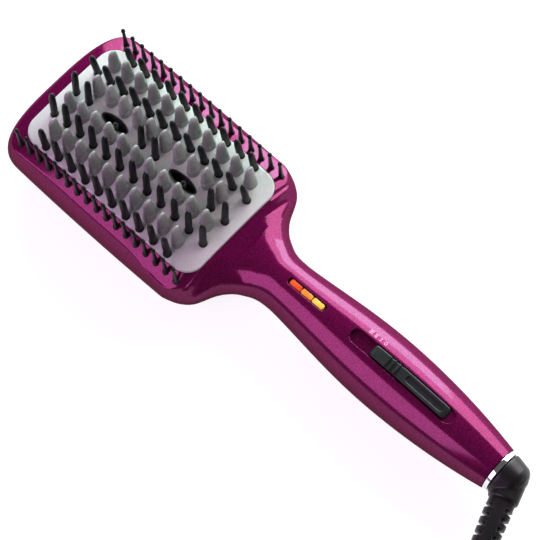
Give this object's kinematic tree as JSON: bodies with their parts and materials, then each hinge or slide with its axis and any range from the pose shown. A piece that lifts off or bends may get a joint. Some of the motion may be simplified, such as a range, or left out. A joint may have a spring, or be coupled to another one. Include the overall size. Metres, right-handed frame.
{
  "type": "hair straightening brush",
  "caption": "Heated paddle brush for straightening hair: domed plate with blade teeth among nylon pins, waisted handle with slide switch and light window, swivelling mains cord.",
  "frame": {"origin": "centre of the flat land on the back of the head, on the surface that the brush lies on", "axes": "+Z out of the bristled face, +Y from the handle towards the far end of the head, +X across the head"},
  "size_m": [0.1506, 0.3936, 0.0548],
  "materials": {
    "berry_gloss": "metallic berry lacquer with fine sparkle",
    "heated_coating": "satin pale grey ceramic coating",
    "pin_nylon": "black heat-resistant nylon, semi-gloss",
    "outlet_plastic": "grey moulded rim",
    "black_plastic": "fine satin black",
    "tray_plastic": "glass-filled black",
    "heater_ceramic": "fired ceramic",
    "steel": "zinc plated",
    "brass": "bright",
    "circuit_board": "green solder mask",
    "lens_red": "translucent",
    "lens_orange": "translucent",
    "lens_yellow": "translucent",
    "trim_chrome": "polished",
    "lead_red": "silicone sleeve",
    "lead_blue": "silicone sleeve",
    "cord_black": "soft matt black"
  },
  "bodies": {
    "brush_body": {"front_housing": "berry_gloss", "rear_cover": "berry_gloss", "heating_plate": "heated_coating", "pin_comb_left_outer": "pin_nylon", "pin_comb_left_inner": "pin_nylon", "pin_comb_centre_far": "pin_nylon", "pin_comb_centre_middle": "pin_nylon", "pin_comb_centre_near": "pin_nylon", "pin_comb_right_inner": "pin_nylon", "pin_comb_right_outer": "pin_nylon", "side_pins_left": "pin_nylon", "side_pins_right": "pin_nylon", "ion_outlet_far": "outlet_plastic", "ion_outlet_near": "outlet_plastic", "slide_switch": "black_plastic", "ion_generator": "black_plastic", "end_collar": "black_plastic", "heater_tray": "tray_plastic", "ptc_heater_left": "heater_ceramic", "ptc_heater_right": "heater_ceramic", "temperature_sensor": "heater_ceramic", "heater_clamp_left": "steel", "heater_clamp_right": "steel", "tray_screw_1": "steel", "tray_screw_2": "steel", "tray_screw_3": "steel", "tray_screw_4": "steel", "body_screw_1": "steel", "body_screw_2": "steel", "body_screw_3": "steel", "body_screw_4": "steel", "body_screw_5": "steel", "body_screw_6": "steel", "thermal_fuse": "steel", "ion_emitter_far": "brass", "ion_emitter_near": "brass", "plug_pin_1": "brass", "plug_pin_2": "brass", "control_board": "circuit_board", "led_board": "circuit_board", "indicator_lens_red": "lens_red", "indicator_lens_orange": "lens_orange", "indicator_lens_yellow": "lens_yellow", "trim_ring": "trim_chrome", "heater_lead_left": "lead_red", "heater_lead_right": "lead_red", "emitter_lead_far": "lead_red", "emitter_lead_near": "lead_red", "mains_lead_left": "lead_blue", "mains_lead_right": "lead_blue", "cord_run": "cord_black", "cord_coil": "cord_black", "cord_tail": "cord_black", "cord_tie": "cord_black", "plug_body": "cord_black"},
    "switch_slider": {"slider_knob": "black_plastic", "switch_carriage": "black_plastic"},
    "cord_swivel": {"cord_swivel": "black_plastic", "swivel_clip": "steel", "strain_relief": "cord_black"}
  },
  "joints": [
    {"name": "switch_slide", "type": "slide", "parent": "brush_body", "child": "switch_slider", "axis": [0, 1, 0], "range_m": [0, 0.0075]},
    {"name": "cord_swivel_turn", "type": "hinge", "parent": "brush_body", "child": "cord_swivel", "pos_m": [0, -0.2142, 0.0165], "axis": [0, 1, 0], "continuous": true}
  ]
}
